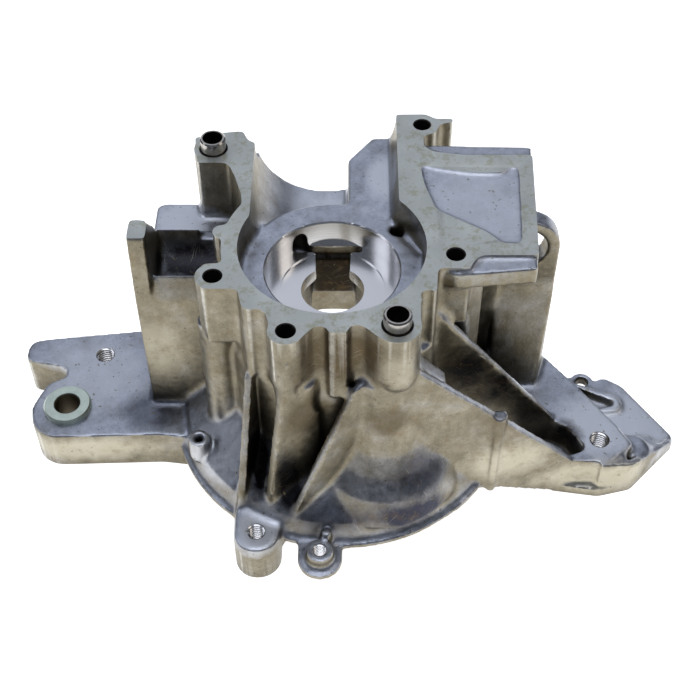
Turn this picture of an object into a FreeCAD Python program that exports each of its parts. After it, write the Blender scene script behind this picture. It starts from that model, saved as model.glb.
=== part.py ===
"""Crankcase half of a small two-stroke engine: one die-cast housing with two
locating sleeves and one steel bush. Millimetres, +Z up along the crank axis,
origin on that axis at the mouth of the main bearing seat."""
import FreeCAD
import Part

import math
import os
import re

from FreeCAD import Placement, Rotation, Vector

# Driving dimensions. A name that ends in _x, _y or _z is a place, the rest are sizes.
DIMENSIONS = {
    # Crank chamber and main bearing seat, turned about the crank axis
    "parting_z": 10.3,
    "chamber_radius": 27.5,
    "chamber_wall_radius": 32.2,
    "neck_radius": 33.4,
    "neck_wall": 4.4,
    "neck_blend": 2.6,
    "flute_bottom_z": -18.0,
    "wall_groove_x": 27.1,
    "wall_groove_y": -20.5,
    "wall_groove_z": -12.0,
    "wall_groove_radius": 2.2,
    "seat_radius": 20.0,
    "seat_depth": 8.0,
    "seat_chamfer": 0.5,
    "shoulder_radius": 15.8,
    "shoulder_step": 0.5,
    "shaft_hole_radius": 9.5,
    "web_thickness": 4.5,
    "seal_bore_radius": 11.0,
    "hub_radius": 23.0,
    "hub_bottom_z": -28.0,
    "floor_bottom_z": -15.0,
    # Fan housing dome below the neck, open underneath
    "dome_top_z": -45.0,
    "dome_shoulder_radius": 50.4,
    "dome_shoulder_z": -59.4,
    "dome_wall": 3.2,
    "rim_wall_radius": 53.0,
    "rim_radius": 54.6,
    "rim_top_z": -65.4,
    "rim_bottom_z": -67.6,
    "rim_x": 2.2,
    "rim_y": 0.6,
    # Screw bosses round the parting face, with blind tapped holes
    "boss_depth": 23.0,
    "boss_radius": 5.1,
    "screw_hole_radius": 2.6,
    "screw_hole_depth": 20.0,
    "left_boss_x": -33.7,
    "left_boss_y": -12.9,
    "front_boss_x": -12.3,
    "front_boss_y": -33.9,
    "right_boss_x": 35.7,
    "right_boss_y": -4.1,
    "rear_boss_x": 28.2,
    "rear_boss_y": 55.0,
    # Locating sleeves in their counterbores
    "sleeve_radius": 4.0,
    "sleeve_bore_radius": 3.15,
    "sleeve_length": 12.0,
    "sleeve_stand": 4.2,
    "sleeve_chamfer": 0.4,
    "sleeve_clearance": 0.08,
    "sleeve_boss_radius": 6.7,
    "sleeve_boss_depth": 25.0,
    "flare_x": 15.5,
    "flare_y": -26.5,
    "flare_radius": 10.4,
    "front_sleeve_x": 18.2,
    "front_sleeve_y": -31.7,
    "rear_sleeve_x": -37.4,
    "rear_sleeve_y": 43.2,
    # Cylinder opening at the back of the chamber, half a bore along +Y
    "cylinder_bore_radius": 22.3,
    "cylinder_bore_x": -2.3,
    "cylinder_face_y": 49.0,
    "cylinder_step_x": 4.6,
    "cylinder_step_z": 1.0,
    "chamber_lip": 1.2,
    "prong_bottom_z": -18.0,
    # Shelf to the right of the chamber
    "shelf_thickness": 7.2,
    "shelf_right_x": 61.0,
    "shelf_back_y": 39.9,
    "shelf_step": 1.2,
    "shelf_recess": 0.8,
    # Upright wall with the round eye at its top
    "eye_x": 59.5,
    "eye_y": 19.0,
    "eye_z": -10.2,
    "eye_radius": 11.3,
    "eye_bore_radius": 7.4,
    "eye_lip_radius": 6.7,
    "eye_wall": 6.5,
    "upright_left_x": 51.5,
    "upright_foot_y": 7.0,
    "upright_foot_x": 67.0,
    # Trough block to the left of the chamber
    "trough_left_x": -60.0,
    "trough_end_wall": 5.4,
    "trough_front_y": 0.0,
    "trough_back_y": 28.0,
    "trough_axis_y": 13.5,
    "trough_axis_z": -5.0,
    "trough_radius": 10.0,
    "trough_wall": 3.6,
    # Mounting arms and lugs, which share one top level and one foot level
    "arm_top_z": -62.0,
    "foot_z": -77.0,
    "arm_hole_radius": 3.0,
    "finger_tip_x": -105.9,
    "left_hole_x": -78.8,
    "left_hole_y": 20.9,
    "right_hole_x": 86.2,
    "right_hole_y": -15.7,
    "skirt_tip_x": 114.6,
    "flange_thickness": 3.6,
    "ear_hole_x": 86.2,
    "ear_hole_y": 18.6,
    "ear_radius": 4.0,
    "ear_hole_radius": 2.1,
    "arm_pad_x": 50.2,
    "arm_pad_y": -27.8,
    "arm_pad_z": -33.6,
    "arm_pad_radius": 2.7,
    # Steel bush pressed into the left arm
    "bush_x": -88.3,
    "bush_y": -2.1,
    "bush_head_radius": 7.8,
    "bush_head_height": 1.9,
    "bush_radius": 5.6,
    "bush_bore_radius": 3.9,
    "bush_chamfer": 0.5,
    # Lugs on the rim
    "lug_x": -23.4,
    "lug_y": -51.0,
    "lug_radius": 7.2,
    "lug_hole_radius": 2.6,
    "lobe_x": -3.9,
    "lobe_y": -58.2,
    "lobe_radius": 6.8,
    "stud_radius": 4.2,
    "stud_top_z": -61.0,
    "stud_hole_radius": 2.1,
    "pip_x": -42.4,
    "pip_y": -22.5,
    "pip_top_z": -52.0,
    "pip_radius": 3.4,
    "pip_hole_radius": 1.5,
    # Ribs
    "rib_thickness": 2.6,
    "middle_rib_thickness": 3.6,
    "arm_rib_thickness": 3.2,
}

document = FreeCAD.newDocument("crankcase")
sheet = document.addObject("Spreadsheet::Sheet", "Sizes")
for row, (name, value) in enumerate(DIMENSIONS.items(), start=1):
    sheet.set("A%d" % row, name)
    sheet.set("B%d" % row, str(value))
    sheet.setAlias("B%d" % row, name)
document.recompute()


def size(name):
    """One driving dimension, read back from the sheet."""
    return float(sheet.get(name))


def bind(thing, prop, formula):
    """Tie a property to the sheet; names in the formula are the sheet's aliases."""
    thing.setExpression(prop, re.sub(r"\b([a-z]+(?:_[a-z]+)+)\b", r"Sizes.\1", formula))


def place(thing, x, y, z):
    for axis, formula in (("x", x), ("y", y), ("z", z)):
        bind(thing, "Placement.Base." + axis, formula)


def cylinder(label, radius, x, y, bottom, top):
    """Upright round bar between two levels."""
    bar = document.addObject("Part::Cylinder", label)
    bind(bar, "Radius", radius)
    bind(bar, "Height", "(%s) - (%s)" % (top, bottom))
    place(bar, x, y, bottom)
    return bar


def cross_cylinder(label, radius, start, length, direction):
    """Round bar that lies along X or Y, from its start point."""
    bar = document.addObject("Part::Cylinder", label)
    bind(bar, "Radius", radius)
    bind(bar, "Height", length)
    bar.Placement.Rotation = Rotation(Vector(0, 0, 1), direction)
    place(bar, *start)
    return bar


def block(label, x_from, x_to, y_from, y_to, bottom, top):
    """Box between two planes on each axis."""
    box = document.addObject("Part::Box", label)
    bind(box, "Length", "(%s) - (%s)" % (x_to, x_from))
    bind(box, "Width", "(%s) - (%s)" % (y_to, y_from))
    bind(box, "Height", "(%s) - (%s)" % (top, bottom))
    place(box, x_from, y_from, bottom)
    return box


def rounded(corners):
    """Lines and tangent arcs through corners given as (x, y) or (x, y, radius)."""
    points = [Vector(c[0], c[1], 0) for c in corners]
    radii = [c[2] if len(c) > 2 else 0.0 for c in corners]
    entries, exits, arcs = [], [], []
    for i, point in enumerate(points):
        to_last = (points[i - 1] - point).normalize()
        to_next = (points[(i + 1) % len(points)] - point).normalize()
        half = to_last.getAngle(to_next) / 2
        if radii[i] <= 0 or half > math.radians(89):
            entries.append(point)
            exits.append(point)
            arcs.append(None)
            continue
        reach = radii[i] / math.tan(half)
        centre = point + (to_last + to_next).normalize() * (radii[i] / math.sin(half))
        start = point + to_last * reach
        end = point + to_next * reach
        middle = centre + (point - centre).normalize() * radii[i]
        entries.append(start)
        exits.append(end)
        arcs.append(Part.Arc(start, middle, end))
    pieces = []
    for i in range(len(points)):
        if arcs[i]:
            pieces.append(arcs[i])
        following = entries[(i + 1) % len(points)]
        if (following - exits[i]).Length > 1e-6:
            pieces.append(Part.LineSegment(exits[i], following))
    return pieces


def sketch_on(body, plane, corners):
    """Closed outline on one of the body's own origin planes."""
    outline = body.newObject("Sketcher::SketchObject", body.Label + "_outline")
    support = [f for f in body.Origin.OriginFeatures if f.Role == plane][0]
    outline.AttachmentSupport = [(support, "")]
    outline.MapMode = "FlatFace"
    outline.addGeometry(rounded(corners), False)
    document.recompute()
    return outline


def plate(label, corners, bottom, top):
    """Flat outline seen from above, padded up from one level to another."""
    body = document.addObject("PartDesign::Body", label)
    outline = sketch_on(body, "XY_Plane", corners)
    pad = body.newObject("PartDesign::Pad", label + "_pad")
    pad.Profile = outline
    bind(pad, "Length", "(%s) - (%s)" % (top, bottom))
    place(body, "0", "0", bottom)
    return body


def bar_along_x(label, corners, x_from, x_to):
    """Outline in the YZ plane, padded along +X."""
    body = document.addObject("PartDesign::Body", label)
    outline = sketch_on(body, "YZ_Plane", corners)
    pad = body.newObject("PartDesign::Pad", label + "_pad")
    pad.Profile = outline
    bind(pad, "Length", "(%s) - (%s)" % (x_to, x_from))
    place(body, x_from, "0", "0")
    return body


def rib(label, root, tip, top, bottom, thickness):
    """Upright web from root to tip. top lists (share of the run, level) along its crest."""
    run = Vector(tip[0] - root[0], tip[1] - root[1], 0)
    corners = [(0, bottom), (run.Length, bottom)]
    corners += [(run.Length * share, level) for share, level in reversed(top)]
    body = document.addObject("PartDesign::Body", label)
    outline = sketch_on(body, "XZ_Plane", corners)
    pad = body.newObject("PartDesign::Pad", label + "_pad")
    pad.Profile = outline
    bind(pad, "Length", thickness)
    pad.SideType = "Symmetric"
    body.Placement = Placement(Vector(root[0], root[1], 0), Rotation(Vector(1, 0, 0), run))
    return body


def turned(label, corners):
    """Outline of (radius, height) corners, revolved about the vertical axis."""
    body = document.addObject("PartDesign::Body", label)
    outline = sketch_on(body, "XZ_Plane", corners)
    revolution = body.newObject("PartDesign::Revolution", label + "_turn")
    revolution.Profile = outline
    revolution.ReferenceAxis = (outline, ["V_Axis"])
    revolution.Angle = 360.0
    return body


def joined(label, pieces):
    fusion = document.addObject("Part::MultiFuse", label)
    fusion.Shapes = pieces
    return fusion


def hub():
    """Bearing hub and neck: a thick-walled bell, open underneath."""
    neck_inner = size("neck_radius") - size("neck_wall")
    blend = size("neck_blend")
    return turned("hub", [
        (0, size("parting_z")),
        (size("chamber_wall_radius"), size("parting_z")),
        (size("chamber_wall_radius"), size("flute_bottom_z") + 1.5),
        (size("neck_radius"), size("flute_bottom_z") - 1.5),
        (size("neck_radius"), size("dome_top_z") - 4),
        (neck_inner, size("dome_top_z") - 4),
        (neck_inner, size("floor_bottom_z") - blend),
        (neck_inner - blend, size("floor_bottom_z")),
        (size("hub_radius"), size("floor_bottom_z")),
        (size("hub_radius") - 1.0, size("hub_bottom_z")),
        (0, size("hub_bottom_z")),
    ])


def fan_dome():
    """Fan housing, a flat bell a little off the crank axis, with a thin rim."""
    wall = size("dome_wall")
    neck_inner = size("neck_radius") - size("neck_wall")
    rim_inner = size("rim_wall_radius") - wall
    root = size("neck_radius") - 1.6
    dome = turned("fan_dome", [
        (neck_inner + 1.5, size("dome_top_z") + 9),
        (root, size("dome_top_z") + 9),
        (root + 0.9, size("dome_top_z") + 4),
        (root + 3.0, size("dome_top_z")),
        (root + 6.4, size("dome_top_z") - 3.6),
        (size("dome_shoulder_radius"), size("dome_shoulder_z")),
        (size("rim_wall_radius"), size("rim_top_z")),
        (size("rim_radius"), size("rim_top_z")),
        (size("rim_radius"), size("rim_bottom_z")),
        (rim_inner, size("rim_bottom_z")),
        (size("dome_shoulder_radius") - wall, size("dome_shoulder_z") - wall),
        (neck_inner + 1.5, size("dome_top_z") - wall),
    ])
    place(dome, "rim_x", "rim_y", "0")
    return dome


def hanging_boss(label, x, y, radius, depth):
    """Round boss that hangs from the parting face and ends in a blunt dome."""
    reach = size(radius)
    low = -size(depth)
    boss = turned(label, [
        (0, 0), (reach, 0), (reach, low + reach), (0.92 * reach, low + 0.6 * reach),
        (0.66 * reach, low + 0.2 * reach), (0, low),
    ])
    place(boss, x, y, "parting_z")
    return boss


def parting_webs():
    """Straight walls between the bosses and the round neck."""
    low = "parting_z - boss_depth"
    return [
        block("web_left", "-36.5", "-24", "left_boss_y - boss_radius", "-8", low, "parting_z"),
        plate("web_right", [
            (14, -30), (24.7, -30), (24.8, -22.6), (29.6, -18.8, 1.5), (30.4, -8), (18, -2),
        ], "dome_top_z - 4", "parting_z"),
        block("web_right_boss", "24", "right_boss_x + boss_radius - 1", "-9.6", "6",
              low, "parting_z"),
        cylinder("web_nub", "2.8", "-32.3", "5.4", low, "parting_z"),
    ]


def front_wall():
    """Fluted wall between the front bosses: a broad pad with a flute on either side."""
    boss_x = size("front_boss_x")
    boss_y = size("front_boss_y")
    sleeve_x = size("front_sleeve_x")
    return plate("front_wall", [
        (24.6, -20), (24.6, -31.6), (sleeve_x - 4.6, -36.8), (8.6, -31.8, 2.5),
        (5.4, -31.8, 0.8), (4.3, -34.7, 1.2), (-0.3, -34.7, 1.2), (-1.6, -32.2, 1.0),
        (-4.4, -32.2, 2), (boss_x + 3.4, boss_y - 3.4), (boss_x - 3.4, boss_y - 3.4),
        (boss_x - 4.6, boss_y + 2.4), (-18.2, -27.0, 2), (-20.7, -25.2, 1.5),
        (-22.8, -26.4, 1), (-24.8, -24.8, 1), (-26, -20), (-14, -14), (14, -14),
    ], "flute_bottom_z", "parting_z")


def prongs():
    """The two horns of the cylinder opening and the saddle between them."""
    left = plate("left_prong", [
        (-20, 8), (-27, 17, 3), (-27.6, 22, 3), (-30, 30, 6), (-32.5, 36.3, 2.5),
        (-42, 36.3, 0.8), (-43.6, 48.5, 1.0), (-36, 50.8, 3), (-28.6, 51.8, 1.5),
        (-26.5, 46, 4), (-10, 46), (-10, 8),
    ], "prong_bottom_z", "parting_z")
    cut_x = size("cylinder_step_x")
    x = size("rear_boss_x")
    y = size("rear_boss_y")
    right = plate("right_prong", [
        (12, 8), (30, 8), (30, 30), (30, 42.6, 2), (27.9, 44, 1.5), (x + 0.4, y - 5.4, 1.5),
        (x + 4.0, y - 4.2, 1.5), (x + 5.8, y + 0.4, 2), (x + 9.8, y + 1.2, 0.6),
        (x + 10.2, y + 3.0, 0.6), (x + 4.0, y + 3.0, 1.5), (x + 1.3, y + 5.3, 2),
        (x - 15.8, y + 5.0), (cut_x, size("cylinder_face_y")), (cut_x, 30),
    ], "prong_bottom_z", "parting_z")
    saddle = block("saddle", "-28", "22", "15", "cylinder_face_y",
                   "prong_bottom_z", "parting_z - 6")
    return [left, right, saddle]


def sleeve_post():
    """Rear post under the left locating sleeve, down to the housing."""
    return cylinder("sleeve_post", "sleeve_boss_radius - 0.6", "rear_sleeve_x", "rear_sleeve_y",
                    "parting_z - boss_depth - 6", "parting_z")


def shelf():
    """Flat shelf right of the chamber, with a low step at the front and at the back."""
    right = size("shelf_right_x")
    back = size("shelf_back_y")
    top = plate("shelf", [
        (22, 2), (34, -9.6, 3), (39.3, -8.4, 3), (42.5, -4.3, 2), (right - 1.4, -4.4),
        (right + 0.9, back), (40, back, 6), (31, 41.5, 4), (22, 46),
    ], "parting_z - shelf_thickness", "parting_z")
    apron = plate("shelf_apron", [
        (24, -6), (34, -10.8), (42, -13.6, 4), (49, -13.2, 4), (right - 2.0, -11.2),
        (right + 1.2, 45.6), (29, 46.6, 2), (24, 46.6),
    ], "parting_z - shelf_thickness", "parting_z - shelf_step")
    return [top, apron]


def upright():
    """Wall under the shelf that carries the eye, and the web and wall beside it."""
    back = size("eye_y") + size("eye_wall")
    left = size("upright_left_x")
    web = plate("window_web", [
        (30, -4), (41, -4.2, 3), (45.4, 0.4, 2.5), (45.0, 8.5, 2), (30, 8.5),
    ], "dome_top_z - 4", "parting_z - shelf_thickness")
    wall = plate("window_wall", [
        (30, 14), (left + 0.3, 16.4), (left + 0.3, 20), (30, 18),
    ], "dome_top_z - 10", "parting_z - shelf_thickness")
    return [
        web,
        wall,
        bar_along_x("upright", [
            (size("upright_foot_y") - 10, size("foot_z")),
            (back, size("foot_z")),
            (back, size("eye_z")),
            (size("eye_y"), size("eye_z")),
            (size("eye_y"), -26, 20),
            (size("upright_foot_y"), size("arm_top_z")),
            (size("upright_foot_y") - 10, size("arm_top_z")),
        ], "upright_left_x", "eye_x + eye_radius"),
        cross_cylinder("eye", "eye_radius", ("eye_x", "eye_y", "eye_z"), "eye_wall",
                       Vector(0, 1, 0)),
        block("upright_head", "upright_left_x", "eye_x", "eye_y", "eye_y + eye_wall",
              "eye_z - 2", "parting_z - shelf_thickness + 1"),
    ]


def trough_block():
    """Left block with a rounded front, a raised end wall and a lower box behind."""
    low = size("foot_z")
    front = size("trough_front_y")
    back = size("trough_back_y")
    rim_front = size("trough_axis_y") - size("trough_radius")
    rim = size("trough_axis_z")
    main = bar_along_x("trough_block", [
        (front, low), (back, low), (back, rim - 6, 5), (back - 5, rim),
        (rim_front, rim, 1), (front, rim - 10, 9),
    ], "trough_left_x", "-24")
    wall = bar_along_x("trough_end", [
        (front, low), (back, low), (back, rim - 8, 6), (size("trough_axis_y") + 1, 6, 8),
        (10.0, size("parting_z"), 0.6), (2.0, size("parting_z"), 1), (front, -12, 10),
    ], "trough_left_x", "trough_left_x + trough_end_wall")
    rear = plate("rear_box", [
        (-57.5, 24, 1), (-57.5, 43, 3), (-40, 43), (-30, 36), (-30, 24),
    ], "foot_z", "-12.5")
    return [main, wall, rear]


def left_arm():
    """Forked arm: a long finger behind and a round eye for the bush in front."""
    tip = size("finger_tip_x")
    x = size("bush_x")
    y = size("bush_y")
    return plate("left_arm", [
        (-50, 34), (-66.9, 32.4), (tip + 6.9, 28.4, 3), (tip + 0.3, 27.0, 4), (tip, 18.2, 3.4),
        (tip + 11.9, 16.0, 3), (x, y + 14.7, 2.6), (x - 8.5, y + 10.1, 5),
        (x - 12.1, y - 0.1, 7.5), (x - 9.5, y - 12.8, 9.6), (-57, -13.6), (-46, -15),
        (-38, -8), (-38, 34),
    ], "foot_z", "arm_top_z")


def right_arm():
    """Right arm: a pentagonal top block on a thin skirt that carries one screw ear."""
    x = size("right_hole_x")
    y = size("right_hole_y")
    tip = size("skirt_tip_x")
    top = plate("right_arm", [
        (30, -30), (52, -24.6), (x - 10.9, y - 8.5, 3), (x + 1.5, y - 9.1, 4),
        (x + 11.4, y - 1.5, 2), (x - 3.2, y + 20.9), (x - 14.4, y + 36.3), (60, 25.5), (34, 25.5),
    ], "foot_z + flange_thickness - 0.6", "arm_top_z")
    skirt = plate("right_skirt", [
        (50, -18), (54, -23.4), (72, -25.4), (x, y - 11.9, 5), (x + 10.8, y - 9.2, 4),
        (tip, -6.6, 3.6), (tip - 14.8, 16.8, 5), (94.0, 20.6, 3), (90.0, 18.6), (80, 21),
        (60, 25.5), (50, 20),
    ], "foot_z", "foot_z + flange_thickness")
    rim = plate("pocket_rim", [
        (x - 6, 18.2), (tip - 17.4, 11.4, 2), (tip - 15.9, 7.2, 2), (tip - 18.2, 4.4, 2),
        (x - 4, 3.0),
    ], "foot_z + 1", "foot_z + flange_thickness + 1.2")
    ear = cylinder("right_ear", "ear_radius", "ear_hole_x", "ear_hole_y",
                   "foot_z", "foot_z + flange_thickness")
    return [top, skirt, rim, ear]


def rim_lugs():
    """Tall front lug, a low lobe with a stud boss, and the small pip on the dome."""
    return [
        cylinder("lobe", "lobe_radius", "lobe_x", "lobe_y", "rim_bottom_z", "rim_top_z"),
        block("lobe_root", "lobe_x - lobe_radius", "lobe_x + lobe_radius", "lobe_y",
              "lobe_y + 8", "rim_bottom_z", "rim_top_z"),
        cylinder("lobe_stud", "stud_radius", "lobe_x", "lobe_y", "rim_top_z - 1", "stud_top_z"),
        cylinder("lobe_web", "1.6", "lobe_x + 2", "lobe_y + 5.6", "rim_top_z - 1",
                 "stud_top_z + 1.5"),
        cylinder("front_lug", "lug_radius", "lug_x", "lug_y", "foot_z", "arm_top_z"),
        block("lug_root", "lug_x - lug_radius", "lug_x + lug_radius", "lug_y",
              "lug_y + lug_radius + 1.6", "foot_z", "arm_top_z"),
        block("lug_web", "lug_x - lug_radius + 1", "lug_x + lug_radius", "lug_y",
              "lug_y + 13", "foot_z", "rim_top_z + 1"),
        cylinder("pip", "pip_radius", "pip_x", "pip_y", "pip_top_z - 9", "pip_top_z"),
    ]


def buttresses():
    """Ribs that brace the front lug and the right arm against the neck."""
    low = size("rim_bottom_z") + 3
    top = size("arm_top_z")
    flute = size("flute_bottom_z")
    x = size("right_hole_x")
    y = size("right_hole_y")
    tip = size("skirt_tip_x")
    lug = (size("lug_x"), size("lug_y"))
    return [
        rib("rib_left", (-22.6, -17.6), (lug[0] - 5.4, lug[1] + 8),
            [(0, flute), (0.32, flute), (0.99, top), (1, top)], low, "rib_thickness"),
        rib("rib_middle", (-4, -33.4), (lug[0] + 2.4, lug[1] + 8.2),
            [(0, -24), (0.38, -12), (0.5, 2.5), (0.53, 2.5), (0.98, top), (1, top)], low,
            "middle_rib_thickness"),
        rib("rib_right", (12.6, -31.3), (lug[0] + 8.6, lug[1] + 3),
            [(0, -9), (0.24, -13), (0.97, top), (1, top)], low, "rib_thickness"),
        rib("arm_rib_front", (20, -33), (78, -22.6),
            [(0, -4), (0.08, -8), (0.97, top), (1, top)], size("foot_z"), "arm_rib_thickness"),
        rib("arm_rib_rear", (30, -10.4), (78, -6.4),
            [(0, -5.5), (0.073, -9.8), (0.885, top), (1, top)], size("foot_z"),
            "arm_rib_thickness"),
        rib("arm_ramp", (22, -26.5), (60, -20.5), [(0, -7), (1, -52)], size("foot_z"),
            "arm_rib_thickness + 3.0"),
        rib("skirt_nose", (x - 1, y - 9.6), (x + 10.2, y - 7.4), [(0, top), (1, top - 2)],
            size("foot_z"), "rib_thickness"),
        rib("skirt_edge", (x + 10.6, y - 7.0), (tip - 2.2, -7.2), [(0, top - 2), (1, top - 11)],
            size("foot_z"), "rib_thickness"),
        cylinder("arm_pad", "arm_pad_radius", "arm_pad_x", "arm_pad_y", "arm_pad_z - 9",
                 "arm_pad_z"),
        cylinder("arm_pad_rib", "arm_pad_radius - 1.2", "arm_pad_x", "arm_pad_y - 1.5",
                 "foot_z + flange_thickness", "arm_pad_z - 8"),
    ]


def column_feet():
    """Slimmer columns that run on below the bosses, and the flare under the sleeve boss."""
    reach = size("flare_radius")
    flare = turned("sleeve_flare", [
        (0, -12), (reach, -12), (reach, -24), (reach + 0.9, -32), (reach + 3.0, -39.5),
        (reach + 6.4, -46), (reach + 11.0, -51.5), (0, -51.5),
    ])
    place(flare, "flare_x", "flare_y", "0")
    return [
        cylinder("left_column", "boss_radius + 1.2", "left_boss_x - 0.2", "left_boss_y + 3",
                 "dome_shoulder_z + 5", "parting_z - boss_depth + 2"),
        cylinder("front_column", "boss_radius", "front_boss_x + 3.2", "front_boss_y + 1.6",
                 "dome_shoulder_z + 8", "parting_z - boss_depth + 2"),
        flare,
    ]


def chamber_cuts():
    """Crank chamber, bearing seat, shaft hole and the oil slot behind it."""
    chamber = turned("chamber_cut", [
        (0, size("parting_z") + 5),
        (size("chamber_radius"), size("parting_z") + 5),
        (size("chamber_radius"), size("seat_chamfer")),
        (size("seat_radius") + size("seat_chamfer"), size("seat_chamfer")),
        (size("seat_radius"), 0),
        (size("seat_radius"), -size("seat_depth")),
        (size("shoulder_radius"), -size("seat_depth")),
        (size("shoulder_radius"), -size("seat_depth") - size("shoulder_step")),
        (0, -size("seat_depth") - size("shoulder_step")),
    ])
    shaft = cylinder("shaft_cut", "shaft_hole_radius", "0", "0", "hub_bottom_z - 1", "0")
    seal = cylinder("seal_cut", "seal_bore_radius", "0", "0", "hub_bottom_z - 1",
                    "-seat_depth - shoulder_step - web_thickness")
    slot = block("oil_slot", "-5.4", "5.4", "0", "16.6", "hub_bottom_z + 4", "-seat_depth + 1")
    mouth = block("oil_mouth", "-9", "9.6", "15.6", "19.0",
                  "-seat_depth - web_thickness", "-seat_depth + 1")
    chase = block("oil_chase", "-6.9", "6.9", "0", "17.6", "hub_bottom_z - 1",
                  "-seat_depth - web_thickness")
    return [chamber, shaft, seal, slot, mouth, chase]


def port_cuts():
    """Ball-ended groove in the seat wall, impulse hole and its groove in the floor."""
    groove = turned("groove_cut", [
        (0, 0), (1.6, -0.4), (2.5, -1.4), (2.8, -2.8), (2.8, -10), (0, -10),
    ])
    place(groove, "-10.7", "17.9", "-1.8")
    return [
        groove,
        cylinder("impulse_cut", "2.1", "19.6", "16.4", "-12", "seat_chamfer + 1"),
        cross_cylinder("impulse_groove", "1.0", ("19.6", "16.4", "seat_chamfer + 0.2"), "13.6",
                       Vector(0.58, -0.81, 0)),
    ]


def cylinder_cuts():
    """Half bore for the cylinder skirt behind the chamber, with a raised step on its right."""
    bore = cross_cylinder("cylinder_bore", "cylinder_bore_radius",
                          ("cylinder_bore_x", "10", "parting_z"), "64", Vector(0, 1, 0))
    floor = cylinder("chamber_floor", "chamber_radius + chamber_lip", "0", "0",
                     "prong_bottom_z", "seat_chamfer")
    step = block("cylinder_step", "cylinder_step_x", "cylinder_bore_x + cylinder_bore_radius + 2",
                 "10", "75", "prong_bottom_z", "cylinder_step_z")
    opening = document.addObject("Part::Cut", "cylinder_cut")
    opening.Base = bore
    opening.Tool = joined("cylinder_kept", [floor, step])
    top = block("cylinder_top", "cylinder_bore_x - cylinder_bore_radius",
                "cylinder_bore_x + cylinder_bore_radius", "10", "74", "parting_z",
                "parting_z + 12")
    return [opening, top]


def sleeve_cuts(name):
    """Counterbore for a locating sleeve and the screw hole below it."""
    x = name + "_sleeve_x"
    y = name + "_sleeve_y"
    floor = "parting_z + sleeve_stand - sleeve_length"
    return [
        cylinder(name + "_counterbore", "sleeve_radius + sleeve_clearance", x, y, floor,
                 "parting_z + 1"),
        cylinder(name + "_sleeve_hole", "screw_hole_radius", x, y,
                 "parting_z - screw_hole_depth", "parting_z"),
    ]


def screw_cut(name):
    """Blind tapped hole from the parting face."""
    return cylinder(name + "_screw_cut", "screw_hole_radius", name + "_boss_x",
                    name + "_boss_y", "parting_z - screw_hole_depth", "parting_z + 1")


def shelf_cuts():
    """Shallow cast recess in the shelf's top."""
    right = size("shelf_right_x")
    back = size("shelf_back_y")
    return plate("shelf_recess_cut", [
        (26, 36.4, 1.5), (33, 34), (42, 32.2, 8), (51.6, 32.0, 1.5), (54.0, 35, 1),
        (right - 3.2, 35, 1), (right - 5.2, -0.2, 1), (49.2, -0.2, 2), (45.4, 4.6, 2),
        (30.5, 14.5, 3), (27.4, 26, 3),
    ], "parting_z - shelf_recess", "parting_z + 1")


def upright_cut():
    """Slants the right side of the upright's flared foot."""
    foot_x = size("upright_foot_x")
    foot_y = size("upright_foot_y")
    right = size("eye_x") + size("eye_radius")
    return plate("upright_side_cut", [
        (foot_x - 2.4, foot_y - 10), (foot_x, foot_y), (right, size("eye_y")),
        (right + 5, size("eye_y")), (right + 5, foot_y - 10),
    ], "arm_top_z", "eye_z")


def eye_cuts():
    """Bore of the eye with a thin lip at its back."""
    return [
        cross_cylinder("eye_cut", "eye_bore_radius", ("eye_x", "eye_y - 1", "eye_z"),
                       "eye_wall - 0.5", Vector(0, 1, 0)),
        cross_cylinder("eye_lip_cut", "eye_lip_radius", ("eye_x", "eye_y - 1", "eye_z"),
                       "eye_wall + 2", Vector(0, 1, 0)),
    ]


def trough_cuts():
    """Round trough along X, the pocket behind it and the hollow underneath."""
    wall = "trough_wall"
    end = "trough_left_x + trough_end_wall"
    return [
        cross_cylinder("trough_cut", "trough_radius", (end, "trough_axis_y", "trough_axis_z"),
                       "-31.2 - trough_left_x - trough_end_wall", Vector(1, 0, 0)),
        cylinder("prong_pocket", "5.6", "-36.2", "30.6", "-9", "parting_z + 1"),
        block("prong_pocket_mouth", "-41.8", "-30.6", "22", "30.6", "-9", "parting_z + 1"),
        block("trough_hollow", "trough_left_x + " + wall, "-37", "trough_front_y + " + wall,
              "trough_back_y - " + wall, "foot_z - 1",
              "trough_axis_z - trough_radius - " + wall),
        block("rear_box_hollow", "-54", "-40", "29", "39.4", "foot_z - 1", "-16.5"),
    ]


def underside_cuts():
    """Room for the fan and flywheel: the arms and lugs stop at the dome's inner wall."""
    wall = size("dome_wall")
    neck_inner = size("neck_radius") - size("neck_wall")
    low = size("foot_z") - 2
    fan = turned("fan_cut", [
        (0, low),
        (size("rim_wall_radius") - wall, low),
        (size("rim_wall_radius") - wall, size("rim_bottom_z")),
        (size("dome_shoulder_radius") - wall, size("dome_shoulder_z") - wall),
        (neck_inner + 1.5, size("dome_top_z") - wall),
        (0, size("dome_top_z") - wall),
    ])
    place(fan, "rim_x", "rim_y", "0")
    well = turned("neck_cut", [
        (size("hub_radius") + 0.5, size("dome_top_z") - 6),
        (neck_inner, size("dome_top_z") - 6),
        (neck_inner, size("floor_bottom_z") - size("neck_blend")),
        (neck_inner - size("neck_blend"), size("floor_bottom_z")),
        (size("hub_radius") + 0.5, size("floor_bottom_z")),
    ])
    return [fan, well]


def hub_room():
    """Clears everything under the hub."""
    return cylinder("hub_room", "hub_radius + 1", "0", "0", "dome_top_z - 6", "hub_bottom_z")


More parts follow.
